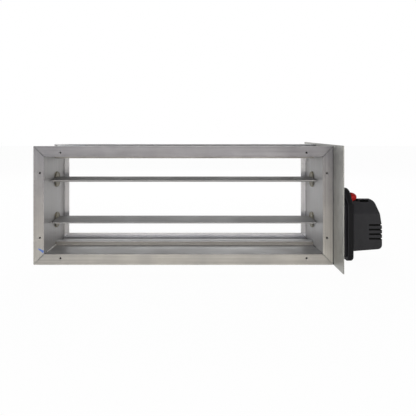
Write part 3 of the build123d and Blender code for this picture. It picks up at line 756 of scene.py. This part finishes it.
half_turn = Matrix.Rotation(math.pi, 4, "Z")
for number, (x, z) in enumerate(flange_hole_places(), start=1):
    to_front = Matrix.Translation((x, CLEAT_BACK, z))
    to_back = Matrix.Translation((x, CLEAT_FRONT, z)) @ half_turn
    place_copy(first_nut, f"front_clinch_nut_{number}", to_front)
    place_copy(first_nut, f"back_clinch_nut_{number}", to_back)
bpy.data.objects.remove(first_nut)
print("clinch nuts in", 2 * len(flange_hole_places()), "holes")

# %% [markdown]
# ## A bead of sealant in the corner
# Where the left bar meets the floor of the duct a thin bead of pale sealant closes the joint. A
# bead laid by hand wavers, so it starts as a small circle that is extruded again and again along
# the corner, each step a little to one side, from near the front flange to the blade stop.

# %% Sealant bead
BEAD_RADIUS = 0.0011
BEAD_SIDES = 10
BEAD_STEP = 0.0045
BEAD_START = 0.020
BEAD_SINK = 0.8


def waver(step):
    """How far a step of the bead strays sideways and upwards."""
    sideways = 0.00022 * math.sin(step * 2.1) + 0.00012 * math.sin(step * 0.7)
    return sideways, 0.00018 * math.sin(step * 1.3 + 1.0)


def sealant_bead():
    bpy.ops.object.select_all(action="DESELECT")
    sunk = BEAD_RADIUS * BEAD_SINK
    bpy.ops.mesh.primitive_circle_add(
        vertices=BEAD_SIDES, radius=BEAD_RADIUS, fill_type="NGON",
        location=(sunk - DUCT_HALF_WIDTH, BEAD_START, sunk - DUCT_HALF_HEIGHT),
        rotation=LYING_ALONG_Y,
    )
    bead = bpy.context.object
    bead.name = "corner_sealant"
    bpy.ops.object.transform_apply(location=True, rotation=True, scale=True)
    bpy.ops.object.mode_set(mode="EDIT")
    bpy.ops.mesh.select_all(action="SELECT")
    for step in range(int((STOP_FRONT - BEAD_START) / BEAD_STEP)):
        sideways, upwards = waver(step)
        move = {"value": (sideways, BEAD_STEP, upwards)}
        bpy.ops.mesh.extrude_region_move(TRANSFORM_OT_translate=move)
    bpy.ops.mesh.select_all(action="SELECT")
    bpy.ops.mesh.normals_make_consistent(inside=False)
    bpy.ops.object.mode_set(mode="OBJECT")
    bpy.ops.object.shade_smooth_by_angle(angle=math.radians(50))
    bead.data.materials.append(moulded_plastic("sealant", (0.80, 0.79, 0.77), 0.45, 600.0, 0.1))
    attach(bead, "frame")
    return bead


bead = sealant_bead()
print("bead of sealant,", len(bead.data.polygons), "faces")

# %% [markdown]
# ## Floor and background
# The damper stands on a plain pale floor in an even white surround. The floor is white to the
# camera but still takes the damper's shadow: its shader is mostly emission where camera and glossy
# rays see it, and otherwise diffuse, which the lamps and the shadow fall on.

# %% Floor
FLOOR_SIZE = 12.0
FLOOR_CENTRE = (0, 2.0)
FLOOR_GAP = 0.0005
FLOOR_PAINT = grey(0.86)
FLOOR_GLOW = 1.04
FLOOR_GLOW_SHARE = 0.93


def floor_paint():
    material, tree, shader = start_material("studio_floor_paint")
    paint = {"Base Color": FLOOR_PAINT, "Roughness": 0.9, "Specular IOR Level": 0.1}
    set_inputs(tree, shader, paint)
    glow = add_node(tree, "ShaderNodeEmission", {"Strength": FLOOR_GLOW})
    rays = add_node(tree, "ShaderNodeLightPath", {}).outputs
    seen = maths(tree, "MAXIMUM", rays["Is Camera Ray"], rays["Is Glossy Ray"])
    inputs = {0: times(tree, seen, FLOOR_GLOW_SHARE), 1: shader.outputs[0], 2: glow.outputs[0]}
    blend = add_node(tree, "ShaderNodeMixShader", inputs)
    set_inputs(tree, tree.nodes["Material Output"], {"Surface": blend.outputs[0]})
    return material


def pale_floor():
    bpy.ops.object.select_all(action="DESELECT")
    place = (*FLOOR_CENTRE, FLOOR_LEVEL - FLOOR_GAP)
    bpy.ops.mesh.primitive_plane_add(size=FLOOR_SIZE, location=place)
    plane = bpy.context.object
    plane.name = "studio_floor"
    bpy.ops.object.transform_apply(location=True, rotation=True, scale=True)
    plane.data.materials.append(floor_paint())
    return plane


pale_floor()
print("floor added")

# %% [markdown]
# ## White surround
# The world is full white where the camera, a transmission ray or a reflection sees it, so the
# background is white and the metal has something bright to mirror. As a light it is much weaker,
# which leaves the shaping to the lamps.

# %% World
WORLD_LIGHT = 0.17


def white_world():
    world = bpy.data.worlds.new("studio_world")
    bpy.context.scene.world = world
    world.use_nodes = True
    tree = world.node_tree
    rays = add_node(tree, "ShaderNodeLightPath", {}).outputs
    seen = maths(tree, "MAXIMUM", rays["Is Camera Ray"], rays["Is Transmission Ray"])
    seen = maths(tree, "MAXIMUM", seen, rays["Is Glossy Ray"])
    inputs = {"Color": grey(1.0), "Strength": map_range(tree, seen, WORLD_LIGHT, 1.0)}
    set_inputs(tree, tree.nodes["Background"], inputs)


white_world()
print("white surround set")

# %% [markdown]
# ## Lamps
# Product light is large and soft. A wide lamp in front lights the faces, and one on each side in
# front reaches the opposite wall inside the duct, so that its inside is nearly as light as its
# face. A warm strip low in front lifts the bottom flange, and a lamp high behind lights the floor
# of the duct and the upper sides of the blades.

# %% Lamps
PLAIN = grey(1.0)
COOL = (0.91, 0.955, 1.0)
WARM = (1.0, 0.95, 0.86)
MIDDLE = (0, 0.08, 0)
LOW_MIDDLE = (0, 0.08, -0.12)


def soft_lamp(name, place, target, size, watts, tint):
    """A rectangular lamp at this place, turned towards the target."""
    light = bpy.data.lights.new(name, "AREA")
    light.shape = "RECTANGLE"
    light.size, light.size_y = size
    light.energy = watts
    light.color = tint
    lamp = bpy.data.objects.new(name, light)
    bpy.context.scene.collection.objects.link(lamp)
    lamp.location = place
    lamp.rotation_euler = (Vector(target) - Vector(place)).to_track_quat("-Z", "Y").to_euler()
    print(name, watts, "W")


soft_lamp("front_lamp", (0, -2.4, 0.15), MIDDLE, (2.0, 0.6), 16, PLAIN)
soft_lamp("left_front_lamp", (-1.8, -1.6, 0.30), MIDDLE, (1.0, 1.0), 16, COOL)
soft_lamp("right_front_lamp", (1.8, -1.6, 0.30), MIDDLE, (1.0, 1.0), 6, PLAIN)
soft_lamp("low_front_lamp", (0, -1.4, -0.06), LOW_MIDDLE, (1.6, 0.12), 10, WARM)
soft_lamp("high_back_lamp", (0, 2.0, 1.0), MIDDLE, (1.6, 1.0), 13, PLAIN)

# %% [markdown]
# ## Camera
# The view is a plain frontal one from a little above the damper's middle, with the lens shifted
# rather than tilted, so upright edges stay upright.

# %% Camera
CAMERA_PLACE = (0.026, -0.967, 0.160)
LEVEL_VIEW = (math.pi / 2, 0, 0)
SENSOR_WIDTH = 36.0
LENS = 38.94
LENS_SHIFT = (0.030, -0.185)
FARTHEST = 50.0


def front_camera():
    data = bpy.data.cameras.new("front_camera")
    data.sensor_width = SENSOR_WIDTH
    data.lens = LENS
    data.shift_x, data.shift_y = LENS_SHIFT
    data.clip_end = FARTHEST
    camera = bpy.data.objects.new("front_camera", data)
    bpy.context.scene.collection.objects.link(camera)
    camera.location = CAMERA_PLACE
    camera.rotation_euler = LEVEL_VIEW
    bpy.context.scene.camera = camera


front_camera()
bpy.context.scene.view_settings.view_transform = "Standard"
print("camera at", CAMERA_PLACE)

# %% [markdown]
# ## Finish
# The dressed damper has to keep the size of its working parts.

# %% Finish
print("scene ready")
